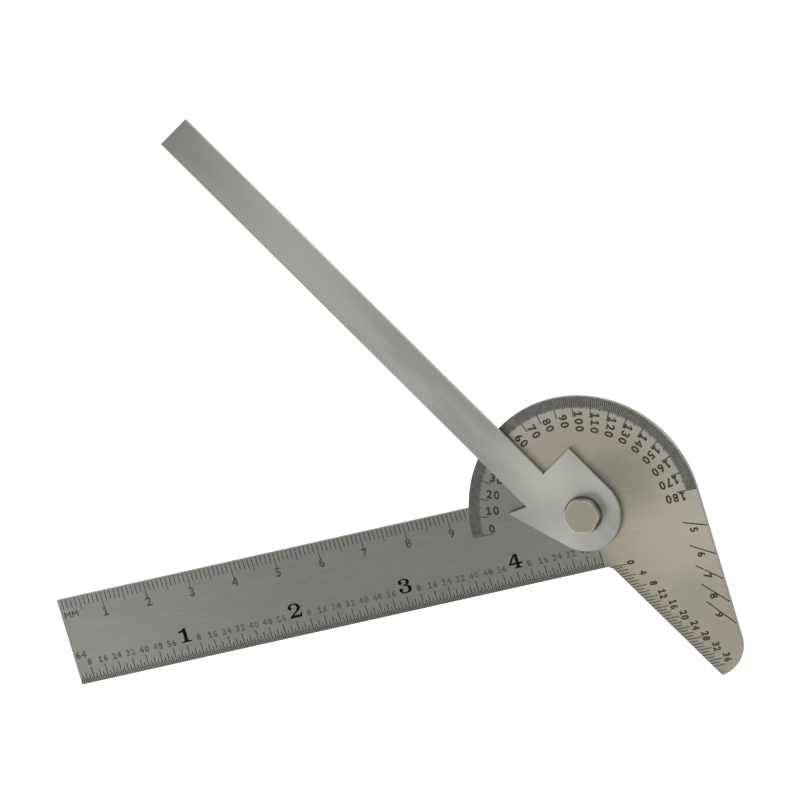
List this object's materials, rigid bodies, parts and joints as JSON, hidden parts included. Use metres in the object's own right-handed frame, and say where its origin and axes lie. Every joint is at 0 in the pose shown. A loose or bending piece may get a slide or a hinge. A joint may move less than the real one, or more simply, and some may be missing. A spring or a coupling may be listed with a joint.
{
  "type": "angle gauge",
  "caption": "Flat steel angle gauge: rule, half-round degree dial and drill-point tail in the same plate, with a barbed swinging arm on a locked pivot.",
  "frame": {"origin": "on the pivot axis, at the plate's back face", "axes": "+X from the rule towards the drill-point tail, +Y towards the top of the dial, +Z out of the graduated face; the rule lies along -X"},
  "size_m": [0.1456, 0.1428, 0.0046],
  "materials": {
    "plate_steel": "satin",
    "stud_steel": "satin",
    "washer_bronze": "satin",
    "arm_steel": "satin",
    "spring_steel": "satin",
    "nut_steel": "satin"
  },
  "bodies": {
    "plate": {"base_plate": "plate_steel", "pivot_stud": "stud_steel", "friction_washer": "washer_bronze"},
    "arm": {"swing_arm": "arm_steel", "disc_spring": "spring_steel"},
    "nut": {"lock_nut": "nut_steel"}
  },
  "joints": [
    {"name": "arm_swing", "type": "hinge", "parent": "plate", "child": "arm", "pos_m": [0, 0, 0.0014], "axis": [0, 0, 1], "continuous": true},
    {"name": "nut_turn", "type": "hinge", "parent": "plate", "child": "nut", "pos_m": [0, 0, 0.0028], "axis": [0, 0, 1], "range_deg": [0, 360]}
  ]
}
